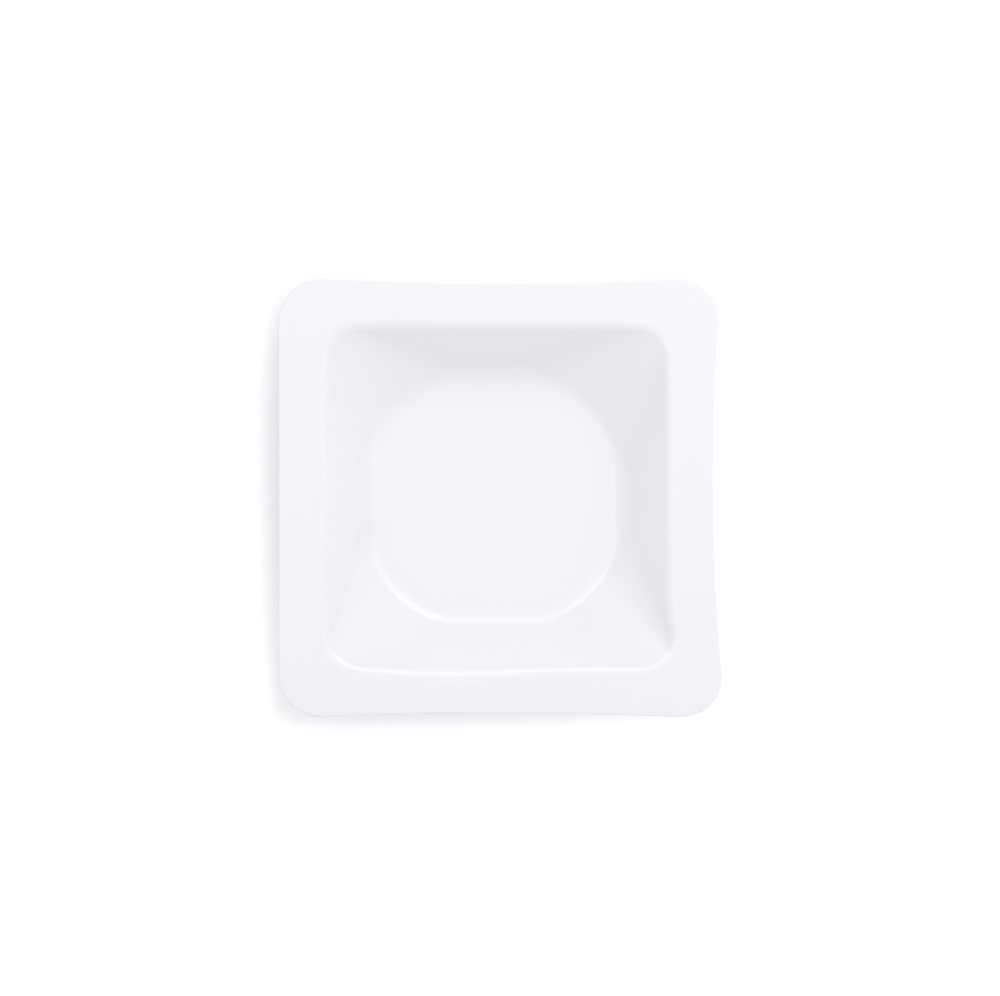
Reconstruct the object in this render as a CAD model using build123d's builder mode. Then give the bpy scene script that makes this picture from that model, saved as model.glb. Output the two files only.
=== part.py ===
"""Square weighing boat, thermoformed in one piece from thin polystyrene sheet.

A flat rim runs round a square opening with rounded corners. Four flat walls slope down from it to a
flat floor, which is a disc cut off by four straight sides, so each corner of the dish is a broad
ruled surface that spreads from the opening's small corner to the floor's large arc. The sheet is
bent, never sharp, where the walls meet the floor and the rim. Its thickness is the named one, and
up to a twelfth more in places where it bends.

Units are millimetres. The origin is the middle of the floor's underside and +Z is up, out of the
open mouth. +X is the east side, whose trimmed edge is drawn in the most.
"""

import os
from math import atan2, hypot, sqrt, tan

from build123d import *

# Sheet and overall sizes
sheet = 0.3  # thickness of the formed sheet
height = 8.0  # from the floor's underside to the top of the rim
rim_side = 45.3  # side of the rim's square, before its corners were rounded
rim_corner = 4.8  # radius of the rim's trimmed corners
rim_width = 5.15  # rim, from its square to the opening

# Dish, as the planes of its sheet would meet if the bends were sharp
opening_corner = 3.0  # radius of the opening's corners
floor_flats = 26.1  # floor, between opposite straight sides
floor_straight = 8.4  # length of each straight side of the floor
floor_ease = 1.2  # stretch at each end of a straight side that eases into the arc

# Bends of the sheet, on its upper face
floor_bend = 2.8
rim_bend = 1.5

# The sheet pulled in after it was trimmed: depth of each edge's inward curve at its middle
bow_north = 0.78
bow_east = 1.15
bow_south = 0.65
bow_west = 0.08

# The trimmed square isn't quite true to the dish: how much further east each part of it reaches
west_inset = 0.25
north_east_reach = 0.35
south_east_reach = 0.8

# Sizes that follow
opening_side = rim_side - 2 * rim_width
floor_arc = hypot(floor_flats / 2, floor_straight / 2)  # radius of the disc
opening_reach = sqrt(2) * (opening_side / 2 - opening_corner) + opening_corner
wall_slope = atan2(height - sheet, (opening_side - floor_flats) / 2)
corner_slope = atan2(height - sheet, opening_reach - floor_arc)


def dish_outline(half_side, half_straight, reach):
    """Square with eased corners, each passing through a point on the diagonal at the given reach."""
    diagonal = reach / sqrt(2)
    with BuildLine() as quarter:
        Line((half_side, -half_straight), (half_side, half_straight))
        Spline(
            (half_side, half_straight),
            (diagonal, diagonal),
            (half_straight, half_side),
            tangents=[(0, 1), (-1, 0)],
        )
    with BuildSketch() as outline:
        with BuildLine():
            for turn in range(4):
                add(quarter.line.rotate(Axis.Z, 90 * turn))
        make_face()
    return outline.sketch


def rim_outline():
    """The rim's trimmed outline: four edges that curve inwards, with rounded corners."""
    half = rim_side / 2
    west = west_inset - half
    north_east = half + north_east_reach
    south_east = half + south_east_reach
    with BuildSketch() as outline:
        with BuildLine():
            ThreePointArc((west, half), (0, half - bow_north), (north_east, half))
            ThreePointArc(
                (north_east, half),
                ((north_east + south_east) / 2 - bow_east, 0),
                (south_east, -half),
            )
            ThreePointArc((south_east, -half), (0, bow_south - half), (west, -half))
            ThreePointArc((west, -half), (west + bow_west, 0), (west, half))
        make_face()
        fillet(outline.vertices(), rim_corner)
    return outline.sketch


def formed_block(below, top):
    """Solid under one face of the sheet, `below` its upper face, and closed off by a slab up to `top`.

    Moving down through the sheet, a sloping wall moves outwards by `below` times the tangent of half
    its slope, which is steeper in the flat walls than in the corners.
    """
    side_growth = below * tan(wall_slope / 2)
    corner_growth = below * tan(corner_slope / 2)
    rim_level = height - below
    with BuildPart() as block:
        with BuildSketch(Plane.XY.offset(sheet - below)):
            add(
                dish_outline(
                    floor_flats / 2 + side_growth,
                    floor_straight / 2 - floor_ease,
                    floor_arc + corner_growth,
                )
            )
        with BuildSketch(Plane.XY.offset(rim_level)):
            add(
                dish_outline(
                    opening_side / 2 + side_growth,
                    opening_side / 2 - opening_corner,
                    opening_reach + corner_growth,
                )
            )
        loft(ruled=True)
        with BuildSketch(Plane.XY.offset(rim_level)):
            add(rim_outline())
        extrude(amount=top - rim_level)
        flat_faces = block.faces().filter_by(Axis.Z).sort_by(Axis.Z)
        fillet(flat_faces[1].inner_wires()[0].edges(), rim_bend - below)
        flat_faces = block.faces().filter_by(Axis.Z).sort_by(Axis.Z)
        fillet(flat_faces[0].edges(), floor_bend + below)
    return block.part


with BuildPart() as weighing_boat:
    add(formed_block(sheet, height))
    add(formed_block(0, height + sheet), mode=Mode.SUBTRACT)
weighing_boat.part.label = "weighing_boat"

os.makedirs("parts", exist_ok=True)
export_step(weighing_boat.part, "parts/weighing_boat.step")
size = weighing_boat.part.bounding_box().size
print(f"weighing_boat {weighing_boat.part.volume:.1f} mm3, {size.X:.2f} x {size.Y:.2f} x {size.Z:.2f} mm")
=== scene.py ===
# %% [markdown]
# # Square weighing boat
# A weighing boat is a throwaway dish for carrying a powder or a few millilitres of liquid to a
# balance. This one is the small size, about 45 mm across. It is pressed from one sheet of white
# polystyrene, so the whole dish is a single skin 0.3 mm thick: flat rim, four sloping walls,
# flat floor.

# %% [markdown]
# ## The frame
# The engineered part fixes the size and the place of everything here: z is up, the floor's
# underside rests on z = 0 and the dish is centred on the origin.

import math

import bpy
import numpy as np
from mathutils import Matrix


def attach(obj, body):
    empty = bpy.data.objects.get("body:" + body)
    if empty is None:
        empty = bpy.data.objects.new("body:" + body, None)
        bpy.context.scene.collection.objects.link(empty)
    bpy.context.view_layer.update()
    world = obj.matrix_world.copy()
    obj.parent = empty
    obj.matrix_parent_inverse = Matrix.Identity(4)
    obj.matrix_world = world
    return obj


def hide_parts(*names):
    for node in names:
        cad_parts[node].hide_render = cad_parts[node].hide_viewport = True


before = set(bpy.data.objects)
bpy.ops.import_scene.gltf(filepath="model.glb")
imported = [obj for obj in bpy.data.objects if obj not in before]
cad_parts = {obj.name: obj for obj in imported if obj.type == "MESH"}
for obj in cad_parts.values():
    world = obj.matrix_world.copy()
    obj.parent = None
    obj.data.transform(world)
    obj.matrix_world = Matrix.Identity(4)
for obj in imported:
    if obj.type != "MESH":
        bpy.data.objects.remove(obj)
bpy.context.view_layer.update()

# %% [markdown]
# ## Sizes
# All sizes are in millimetres and are turned into metres when a mesh is made. The floor is a
# disc with four straight sides cut into it. The opening is a square with small rounded corners.
# Where the sheet bends it follows an arc, wide at the floor and tighter at the rim.

# %% Sizes
MM = 0.001
SHEET = 0.3
HEIGHT = 8.0
RISE = HEIGHT - SHEET  # from the floor's upper face to the rim's

FLOOR_HALF = 13.05  # middle of the floor to each straight side
FLOOR_SHIFT = -0.5  # the floor's arcs sit a little west of the rim's middle
SHIFT_REACH = 6.5  # where, north and south of the middle, that shift is complete
FLOOR_STRAIGHT = 4.2  # half the length of a straight side
OPENING_HALF = 17.5
OPENING_CORNER = 3.0
FLOOR_BEND = 2.8
RIM_BEND = 1.4
CORNER_EASE = 0.6  # how much wider the rim's bend is round the opening's corners
SOUTH_EASE = 1.1  # and along the west half of its south side
CREASE_SOFTNESS = 1.2  # how far the bend between a wall and a corner spreads
FLARE_EAST, FLARE_SOUTH = 0.95, 0.2  # the opening's south-east corner, out of square
FLARE_WIDTH = 4.5
SOUTH_DRAWN_IN, SOUTH_BULGE = 0.2, 0.35  # the opening's south side: in, but out on one stretch
BULGE_AT, BULGE_WIDTH = -5.0, 8.5

RIM_HALF = 22.65
RIM_CORNER = 4.8
WEST_INSET = 0.25
NORTH_EAST_REACH = 0.35
SOUTH_EAST_REACH = 0.8
BOW_NORTH, BOW_EAST, BOW_SOUTH, BOW_WEST = 0.78, 1.15, 0.65, 0.08
CUT_EDGE = 0.09  # rounding of the trimmed edge
TABLE_GAP = 0.02  # below the dish, so the two faces don't flicker
LIGHT_DISTANCE = 0.2  # in metres, of the softbox to the side and the strips
STRIP_HEIGHT = 0.09  # in metres
SHADOW_CORNER = 3  # how far the shadow's edge is rounded at the corners

COLUMNS = 400  # round the dish
FINE = 4000  # samples of an outline before it is softened
print("rim, opening and floor half widths, mm:", RIM_HALF, OPENING_HALF, FLOOR_HALF)


# %% [markdown]
# ## Outlines
# Three closed curves carry the form: the floor's edge, the opening's edge and the trimmed edge
# of the rim. Each has eight stretches, side, corner, side, corner, so the same place along each
# curve lies on the same wall or the same corner, and straight lines drawn between the curves
# make the walls.


# %% Outline functions
def stretch_places(count):
    """Eight equal stretches round an outline: which one each sample is in, and how far along it
    is, from 0 to 1."""
    place = np.arange(count) / count * 8.0 + 0.5
    stretch = np.floor(place).astype(int) % 8
    return stretch, place - np.floor(place)


def square_outline(half, straight, radius, corner_x, corner_y, count=FINE):
    """A square's side, then an arc, four times round, anticlockwise from the east side.
    Side: (half, y), y from -straight to straight. Arc: centre (corner_x, corner_y), from the side's
    end to its mirror image in the diagonal. Quarter k is turned by k times 90 degrees."""
    stretch, along = stretch_places(count)
    quarter = stretch // 2
    on_arc = stretch % 2 == 1
    start = math.atan2(straight - corner_y, half - corner_x)
    angle = start + along * (math.pi / 2 - 2 * start)
    x = np.where(on_arc, corner_x + radius * np.cos(angle), half)
    y = np.where(on_arc, corner_y + radius * np.sin(angle), straight * (2 * along - 1))
    turn = quarter * math.pi / 2
    return np.stack([x * np.cos(turn) - y * np.sin(turn), x * np.sin(turn) + y * np.cos(turn)], 1)


def soften(curve, spread):
    """Rounds a closed curve's kinks: a Gaussian average along it, of standard deviation spread, in
    samples, done as a product in the frequency domain: c(k) * exp(-2 (pi k spread / n)^2)."""
    wave = np.fft.fftfreq(len(curve))
    gain = np.exp(-2 * (math.pi * wave * spread) ** 2)
    return np.fft.ifft(np.fft.fft(curve, axis=0) * gain[:, None], axis=0).real


def outward(curve):
    """Unit normals of a closed anticlockwise curve: its tangent turned by minus 90 degrees."""
    tangent = np.roll(curve, -1, axis=0) - np.roll(curve, 1, axis=0)
    normal = np.stack([tangent[:, 1], -tangent[:, 0]], 1)
    return normal / np.linalg.norm(normal, axis=1, keepdims=True)


def bell(distance, width):
    """exp(-(distance / width)^2), a smooth bump of height 1."""
    return np.exp(-((distance / width) ** 2))


# %% [markdown]
# ## The dish's two edges
# A sharp kink between a side and an arc would make a hard crease up the wall. Hot sheet doesn't
# crease like that, so both outlines are averaged over about a millimetre before they are used.
# The floor's arcs sit half a millimetre west of its straight sides, as the pressed sheet
# relaxed.

# %% Floor and opening outlines
disc = math.hypot(FLOOR_HALF, FLOOR_STRAIGHT)
side_samples = FINE / 8
spread = CREASE_SOFTNESS / (2 * FLOOR_STRAIGHT) * side_samples
floor_edge = soften(square_outline(FLOOR_HALF, FLOOR_STRAIGHT, disc, 0, 0), spread)
away = np.clip(np.abs(floor_edge[:, 1:]) / SHIFT_REACH, 0, 1)
floor_edge = floor_edge + np.array([[FLOOR_SHIFT, 0]]) * away**2 * (3 - 2 * away)
centre = OPENING_HALF - OPENING_CORNER
opening_edge = soften(square_outline(OPENING_HALF, centre, OPENING_CORNER, centre, centre), spread)

# The opening's south-east corner flares out, most of all to the east, and its south side bulges a
# little on its west half.
x, y = opening_edge.T
flare = bell(x - OPENING_HALF, FLARE_WIDTH) * bell(y + OPENING_HALF, FLARE_WIDTH)
south = np.clip((-y - 12) / 5, 0, 1)  # nought to one from y = -12 to -17 mm
bulge = bell(x - BULGE_AT, BULGE_WIDTH)
opening_edge[:, 0] += FLARE_EAST * flare
opening_edge[:, 1] += (SOUTH_DRAWN_IN - SOUTH_BULGE * bulge) * south - FLARE_SOUTH * flare
print("floor across, mm:", np.round(np.ptp(floor_edge, axis=0), 2))
print("opening across, mm:", np.round(np.ptp(opening_edge, axis=0), 2))

# %% [markdown]
# ## The trimmed rim
# The rim is cut as a square with rounded corners. Pressed sheet pulls back along the middle of
# each side as it cools, and the corners, which are stiffer, stay out. So three of the sides bow
# in by about a millimetre.

# %% Rim outline
rim_centre = RIM_HALF - RIM_CORNER
rim_edge = square_outline(RIM_HALF, rim_centre, RIM_CORNER, rim_centre, rim_centre)


def draw_in(edge):
    """The rim's trimmed square after the sheet relaxed: each side curves in as a parabola, and the
    square is a little out of true to the dish.
    x' = x (1 - bow_x (1 - (y/h)^2) / h) + reach(x, y), and the same for y with no reach."""
    x, y = edge.T
    h = RIM_HALF
    bow_x = np.where(x > 0, BOW_EAST, BOW_WEST)
    bow_y = np.where(y > 0, BOW_NORTH, BOW_SOUTH)
    east_reach = NORTH_EAST_REACH + (SOUTH_EAST_REACH - NORTH_EAST_REACH) * (1 - y / h) / 2
    reach = np.where(x > 0, east_reach, -WEST_INSET) * x / h
    return np.stack(
        [
            x * (1 - bow_x * (1 - (y / h) ** 2) / h) + reach,
            y * (1 - bow_y * (1 - (x / h) ** 2) / h),
        ],
        1,
    )


rim_edge = draw_in(rim_edge)
print("rim across, mm:", np.round(np.ptp(rim_edge, axis=0), 2))

# %% [markdown]
# ## The sheet's upper face
# Each column of the grid starts in the middle of the floor, runs out flat, bends up through an
# arc, climbs the wall as a straight line, bends back level through a smaller arc and crosses
# the rim. The arcs are square to the floor's edge and the opening's edge, as they are where a
# sheet is drawn over a mould's radius.


# %% Upper face
def thin(curve):
    return curve[:: FINE // COLUMNS]


def bend_rows(edge, normal, slope, radius, level, side, steps):
    """Rows of points through a bend, from its flat end to the wall.
    With p from 0 to slope: out = radius (sin p - tan(slope/2)), up = radius (1 - cos p). side is 1
    at the floor, where the wall lies outwards and up, and -1 at the rim, where it lies inwards and
    down."""
    p = np.linspace(0, 1, steps)[:, None] * slope[None]
    out = side * radius * (np.sin(p) - np.tan(slope / 2))
    up = side * radius * (1 - np.cos(p))
    plan = edge[None] + out[..., None] * normal[None]
    return np.concatenate([plan, (level + up)[..., None]], 2)


def rows_between(first, last, fractions):
    f = np.asarray(fractions)[:, None, None]
    return first[None] * (1 - f) + last[None] * f


def upper_face():
    """Grid of points, rows from near the middle of the floor to the trimmed edge."""
    floor, opening, rim = thin(floor_edge), thin(opening_edge), thin(rim_edge)
    floor_normal, opening_normal = thin(outward(floor_edge)), thin(outward(opening_edge))
    run = opening - floor
    floor_slope = np.arctan2(RISE, (run * floor_normal).sum(1))
    opening_slope = np.arctan2(RISE, (run * opening_normal).sum(1))
    cornering = (2 * opening_normal[:, 0] * opening_normal[:, 1]) ** 2
    soft_south = bell(opening[:, 0] - BULGE_AT, BULGE_WIDTH) * (opening[:, 1] < 0)
    rim_bend = RIM_BEND + CORNER_EASE * cornering + SOUTH_EASE * soft_south * (1 - cornering)
    low = bend_rows(floor, floor_normal, floor_slope, FLOOR_BEND, SHEET, 1, 15)
    high = bend_rows(opening, opening_normal, opening_slope, rim_bend, HEIGHT, -1, 13)[::-1]
    middle = np.zeros_like(low[0])
    middle[:, 2] = SHEET
    edge = np.concatenate([rim, np.full((len(rim), 1), HEIGHT)], 1)
    inside = rows_between(middle, low[0], np.linspace(0.04, 1, 14)[:-1])
    wall = rows_between(low[-1], high[0], np.linspace(0, 1, 14)[1:-1])
    flat = rows_between(high[-1], edge, np.linspace(0, 1, 14)[1:])
    return np.concatenate([inside, low, wall, high, flat])


top = upper_face()
print("upper face rows, columns:", top.shape[:2])

# %% [markdown]
# ## The whole skin
# The underside is the upper face moved inwards by the sheet's thickness along its own normals,
# so the walls keep one thickness. The two faces are joined at the trimmed edge by a small
# rounding, which is what a steel cutting rule leaves.


# %% Skin functions
def grid_normals(grid):
    """Unit normals of a grid closed along its columns: the cross product of the two directions,
    d(grid)/d(column) x d(grid)/d(row), turned to face up."""
    across = np.roll(grid, -1, axis=1) - np.roll(grid, 1, axis=1)
    along = np.gradient(grid, axis=0)
    normal = np.cross(along, across)
    return normal / np.linalg.norm(normal, axis=2, keepdims=True)


def edge_rows(top_row, outward_plan, radius, steps=4):
    """The rounded cut: a quarter circle down from the upper face, then one back to the underside.
    inset = radius (1 - sin q) and drop = radius (1 - cos q), with q from 0 to 90 degrees."""
    q = np.linspace(0, math.pi / 2, steps)[:, None, None]
    inset = radius * (1 - np.sin(q))
    drop = radius * (1 - np.cos(q))
    plan = top_row[None, :, :2] - inset * outward_plan[None]
    upper = np.concatenate([plan, np.broadcast_to(HEIGHT - drop, plan.shape[:2] + (1,))], 2)
    lower = np.concatenate(
        [plan, np.broadcast_to(HEIGHT - SHEET + drop, plan.shape[:2] + (1,))], 2
    )
    return np.concatenate([upper, lower[::-1]])


def closed_sheet(grid):
    """Rows of the whole skin, from the floor's middle out along the top and back along the
    underside."""
    below = grid - SHEET * grid_normals(grid)
    below[-1, :, :2] = grid[-1, :, :2]
    cut = edge_rows(grid[-1], thin(outward(rim_edge)), CUT_EDGE)
    return np.concatenate([grid[:-1], cut, below[:-1][::-1]])


def mesh_from_rows(name, rows, poles):
    """A closed surface: quads between neighbouring rows, a fan of triangles to a pole at each
    end."""
    n_rows, n_columns = rows.shape[:2]
    points = np.concatenate([rows.reshape(-1, 3), np.asarray(poles)]) * MM
    r, c = np.meshgrid(np.arange(n_rows - 1), np.arange(n_columns), indexing="ij")
    c2 = (c + 1) % n_columns
    here, beyond = r * n_columns, (r + 1) * n_columns
    quads = np.stack([here + c, beyond + c, beyond + c2, here + c2], 2)
    ring = np.arange(n_columns)
    after = (ring + 1) % n_columns
    first_pole = n_rows * n_columns
    last = (n_rows - 1) * n_columns
    fans = np.concatenate(
        [
            np.stack([np.full_like(ring, first_pole), ring, after], 1),
            np.stack([np.full_like(ring, first_pole + 1), last + after, last + ring], 1),
        ]
    )
    loops = np.concatenate([quads.reshape(-1), fans.reshape(-1)])
    starts = np.concatenate([np.arange(quads.size // 4) * 4, quads.size + np.arange(len(fans)) * 3])
    mesh = bpy.data.meshes.new(name)
    mesh.vertices.add(len(points))
    mesh.vertices.foreach_set("co", points.astype(np.float32).ravel())
    mesh.loops.add(len(loops))
    mesh.loops.foreach_set("vertex_index", loops.astype(np.int32))
    mesh.polygons.add(len(starts))
    mesh.polygons.foreach_set("loop_start", starts.astype(np.int32))
    mesh.update(calc_edges=True)
    mesh.polygons.foreach_set("use_smooth", np.ones(len(starts), bool))
    mesh.validate()
    return mesh


# %% [markdown]
# ## The one piece
# The dish has no joints and no second material, so the whole of it is one mesh. It stands in
# for the engineered solid, weighing_boat, which is hidden.

# %% Make the boat
skin = closed_sheet(top)
boat = bpy.data.objects.new("boat", mesh_from_rows("boat", skin, [[0, 0, SHEET], [0, 0, 0]]))
bpy.context.scene.collection.objects.link(boat)
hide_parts("weighing_boat")
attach(boat, "root")
print("boat faces:", len(boat.data.polygons))
print("boat size, mm:", np.round(np.array(boat.dimensions) / MM, 2))


# %% [markdown]
# ## Shaders as short lines
# A material here is a handful of nodes. One helper turns a familiar hex colour into linear
# light, and another adds a node with its settings and links in one line.


# %% Colour and node helpers
def linear(hex_colour):
    """A six-digit sRGB colour as linear red, green, blue and an alpha of 1."""
    parts = [int(hex_colour[i : i + 2], 16) / 255 for i in (0, 2, 4)]
    linear_parts = [p / 12.92 if p <= 0.04045 else ((p + 0.055) / 1.055) ** 2.4 for p in parts]
    return tuple(linear_parts) + (1.0,)


def new_tree(owner):
    owner.use_nodes = True
    owner.node_tree.nodes.clear()
    return owner.node_tree


def add_node(tree, kind, inputs=None, **settings):
    """One node, with its settings and input values. An input given as a socket is linked."""
    node = tree.nodes.new(kind)
    for key, value in settings.items():
        setattr(node, key, value)
    for key, value in (inputs or {}).items():
        if isinstance(value, bpy.types.NodeSocket):
            tree.links.new(value, node.inputs[key])
        else:
            node.inputs[key].default_value = value
    return node


# %% [markdown]
# ## White polystyrene
# The sheet is high-impact polystyrene, pressed hot over a polished mould, so it is a clean
# white with a soft satin shine. Rubber in the plastic scatters light, which is why even so thin
# a sheet looks solid. The mould leaves a faint grain half a millimetre wide and a few
# micrometres deep, and the polish drifts a little over about 5 mm.

# %% Polystyrene material
polystyrene = bpy.data.materials.new("white high-impact polystyrene")
tree = new_tree(polystyrene)
place = add_node(tree, "ShaderNodeTexCoord")
grain = add_node(
    tree,
    "ShaderNodeTexNoise",
    {"Vector": place.outputs["Object"], "Scale": 1 / (0.5 * MM), "Detail": 2.0},
)
polish = add_node(
    tree,
    "ShaderNodeTexNoise",
    {"Vector": place.outputs["Object"], "Scale": 1 / (5 * MM), "Detail": 2.0},
)
roughness = add_node(
    tree,
    "ShaderNodeMapRange",
    {"Value": polish.outputs["Fac"], "To Min": 0.2, "To Max": 0.26},
)
relief = add_node(
    tree,
    "ShaderNodeBump",
    {"Height": grain.outputs["Fac"], "Strength": 0.5, "Distance": 0.004 * MM},
)
surface = add_node(
    tree,
    "ShaderNodeBsdfPrincipled",
    {
        "Base Color": linear("f8f9fc"),
        "Roughness": roughness.outputs[0],
        "IOR": 1.59,
        "Normal": relief.outputs["Normal"],
    },
)
out = add_node(tree, "ShaderNodeOutputMaterial", {"Surface": surface.outputs["BSDF"]})
boat.data.materials.append(polystyrene)
print("material:", polystyrene.name, "nodes:", len(tree.nodes))

# %% [markdown]
# ## Table
# The dish stands on a white card. Seen directly, the card is lifted until it burns out to
# white, as a studio background does, and only the soft shadow close to the rim stays below
# white; there the lifting is kept lower, which paints that shadow darker. Light that bounces
# off the card meets an ordinary white, so the lifting doesn't light the dish.

# %% Table
table_mesh = bpy.data.meshes.new("table")
T = 1.5  # half the card's side, in metres
table_mesh.from_pydata([(-T, -T, 0), (T, -T, 0), (T, T, 0), (-T, T, 0)], [], [(0, 1, 2, 3)])
table = bpy.data.objects.new("table", table_mesh)
bpy.context.scene.collection.objects.link(table)
table.location.z = -TABLE_GAP * MM
print("card side, m:", 2 * T)

# %% [markdown]
# ## White card
# How much the camera's view is lifted depends on the place, and this paints shade onto the
# card: the lifting is least just outside the rim and climbs over the first few millimetres,
# which paints a darker shadow edge there, climbs again far out, and is a little stronger to
# the east and the south, which paints the shadow darker on the west side. The lifting is
# slightly coloured, and that colour shows only in the shadow, so it is a painted shadow colour.

# %% Card material
BURNT_OUT = 2.6  # the lift that is white in any shadow
white = bpy.data.materials.new("white card, overexposed where it is seen directly")
tree = new_tree(white)
path = add_node(tree, "ShaderNodeLightPath")
plain = add_node(tree, "ShaderNodeBsdfDiffuse", {"Color": (0.8, 0.8, 0.8, 1)})
place = add_node(tree, "ShaderNodeTexCoord")
apart = add_node(tree, "ShaderNodeSeparateXYZ", {"Vector": place.outputs["Object"]})
across = add_node(tree, "ShaderNodeMath", {0: apart.outputs["X"]}, operation="ABSOLUTE")
along = add_node(tree, "ShaderNodeMath", {0: apart.outputs["Y"]}, operation="ABSOLUTE")
beyond = add_node(
    tree,
    "ShaderNodeMath",
    {0: across.outputs[0], 1: along.outputs[0], 2: SHADOW_CORNER * MM},
    operation="SMOOTH_MAX",
)
# Painted shade: the card is kept darker over the first few millimetres outside the rim, deepening
# the shadow there.
painted_rim_shade_lift = add_node(
    tree,
    "ShaderNodeMapRange",
    {
        "Value": beyond.outputs[0],
        "From Min": 22.5 * MM,
        "From Max": 26.5 * MM,
        "To Min": 1.35,
        "To Max": 1.7,
    },
)
far = add_node(
    tree,
    "ShaderNodeMapRange",
    {
        "Value": beyond.outputs[0],
        "From Min": 26 * MM,
        "From Max": 60 * MM,
        "To Min": 1.2,
        "To Max": BURNT_OUT,
    },
)
# Painted shade: the card is a little darker to the west and the north and lighter to the east and
# the south.
painted_shade_lean = add_node(
    tree,
    "ShaderNodeVectorMath",
    {0: place.outputs["Object"], 1: (5.0, -3.2, 0)},
    operation="DOT_PRODUCT",
)
level = add_node(
    tree, "ShaderNodeMath", {0: painted_rim_shade_lift.outputs[0], 1: painted_shade_lean.outputs["Value"]}, operation="ADD"
)
level = add_node(
    tree, "ShaderNodeMath", {0: level.outputs[0], 1: far.outputs[0]}, operation="MAXIMUM"
)
level = add_node(
    tree, "ShaderNodeMath", {0: level.outputs[0], 1: BURNT_OUT}, operation="MINIMUM"
)
# Painted shadow colour: this slight colour shows only where the card stays below white, in the
# shadow.
painted_shadow_tint = add_node(
    tree,
    "ShaderNodeVectorMath",
    {0: (1.0, 0.987, 1.0), "Scale": level.outputs[0]},
    operation="SCALE",
)
seen = add_node(tree, "ShaderNodeBsdfDiffuse", {"Color": painted_shadow_tint.outputs[0]})
both = add_node(
    tree,
    "ShaderNodeMixShader",
    {0: path.outputs["Is Camera Ray"], 1: plain.outputs["BSDF"], 2: seen.outputs["BSDF"]},
)
add_node(tree, "ShaderNodeOutputMaterial", {"Surface": both.outputs["Shader"]})
table_mesh.materials.append(white)
print("material:", white.name, "nodes:", len(tree.nodes))

# %% [markdown]
# ## Light tent
# Most of the light comes evenly from all round, as it does inside a fabric tent. A camera that
# looks past the card sees plain white.

# %% Light tent
world = bpy.data.worlds.new("light tent")
bpy.context.scene.world = world
tree = new_tree(world)
path = add_node(tree, "ShaderNodeLightPath")
tent = add_node(tree, "ShaderNodeBackground", {"Color": (0.98, 1.0, 1.005, 1), "Strength": 0.738})
behind = add_node(tree, "ShaderNodeBackground", {"Color": (1, 1, 1, 1), "Strength": 1.05})
both = add_node(
    tree,
    "ShaderNodeMixShader",
    {
        0: path.outputs["Is Camera Ray"],
        1: tent.outputs["Background"],
        2: behind.outputs["Background"],
    },
)
add_node(tree, "ShaderNodeOutputWorld", {"Surface": both.outputs["Shader"]})
print("tent strength:", round(tent.inputs["Strength"].default_value, 3))


# %% [markdown]
# ## Softboxes
# One softbox stands beyond the north-east corner and another hangs overhead, so the north and
# east walls, which face away from them, are the darker ones. The overhead one isn't seen in
# reflections. The four strips are seen only there: the two to the north draw the bright lines
# along the south bends of the floor and the opening, and the other two draw faint lines along
# the floor's west and east sides and brighten the west side of the rim.


# %% Softboxes
def softbox(name, azimuth, elevation, distance, width, height, radiance, colour=(1, 1, 1)):
    """A rectangular light that faces the dish, azimuth in degrees from +X. Its power gives the
    stated radiance: power = radiance * pi * area."""
    data = bpy.data.lights.new(name, "AREA")
    data.shape = "RECTANGLE"
    data.size, data.size_y = width, height
    data.energy = radiance * math.pi * width * height
    data.color = colour
    light = bpy.data.objects.new(name, data)
    bpy.context.scene.collection.objects.link(light)
    a, e = math.radians(azimuth), math.radians(elevation)
    light.location = (
        distance * math.cos(e) * math.cos(a),
        distance * math.cos(e) * math.sin(a),
        distance * math.sin(e),
    )
    light.rotation_euler = (math.pi / 2 - e, 0, a + math.pi / 2)
    return light


softbox("north-east softbox", 50, 44, LIGHT_DISTANCE, 0.16, 0.1, 0.95)
ceiling = softbox("overhead softbox", 60, 75, 0.16, 0.14, 0.1, 0.95, (1.08, 0.96, 1.02))
ceiling.visible_glossy = False
for name, azimuth, elevation, width, radiance in (
    ("north strip", 96, 44, 0.42, 1.3),
    ("north-west strip", 152, 46, 0.14, 0.7),
    ("east strip", 0, 52, 0.12, 0.4),
    ("west strip", 180, 72, 0.1, 0.65),
):
    strip = softbox(name, azimuth, elevation, LIGHT_DISTANCE, width, STRIP_HEIGHT, radiance)
    strip.visible_diffuse = False

# %% [markdown]
# ## Camera
# A long lens looks straight down, so the walls show no more on one side than on the other.

# %% Camera
camera_data = bpy.data.cameras.new("overhead")
camera_data.lens = 300
camera_data.sensor_width = 36
camera_data.clip_end = 10
camera = bpy.data.objects.new("overhead", camera_data)
bpy.context.scene.collection.objects.link(camera)
frame_width = 102.25 * MM  # what the view spans at the height of the rim
aside = 0.3 * MM  # the view's middle is this far east of the dish's
away = frame_width * camera_data.lens / camera_data.sensor_width
camera.location = (aside, 0.0, HEIGHT * MM + away)
bpy.context.scene.camera = camera
bpy.context.scene.view_settings.view_transform = "Standard"
print("camera height, m:", round(camera.location.z, 4))
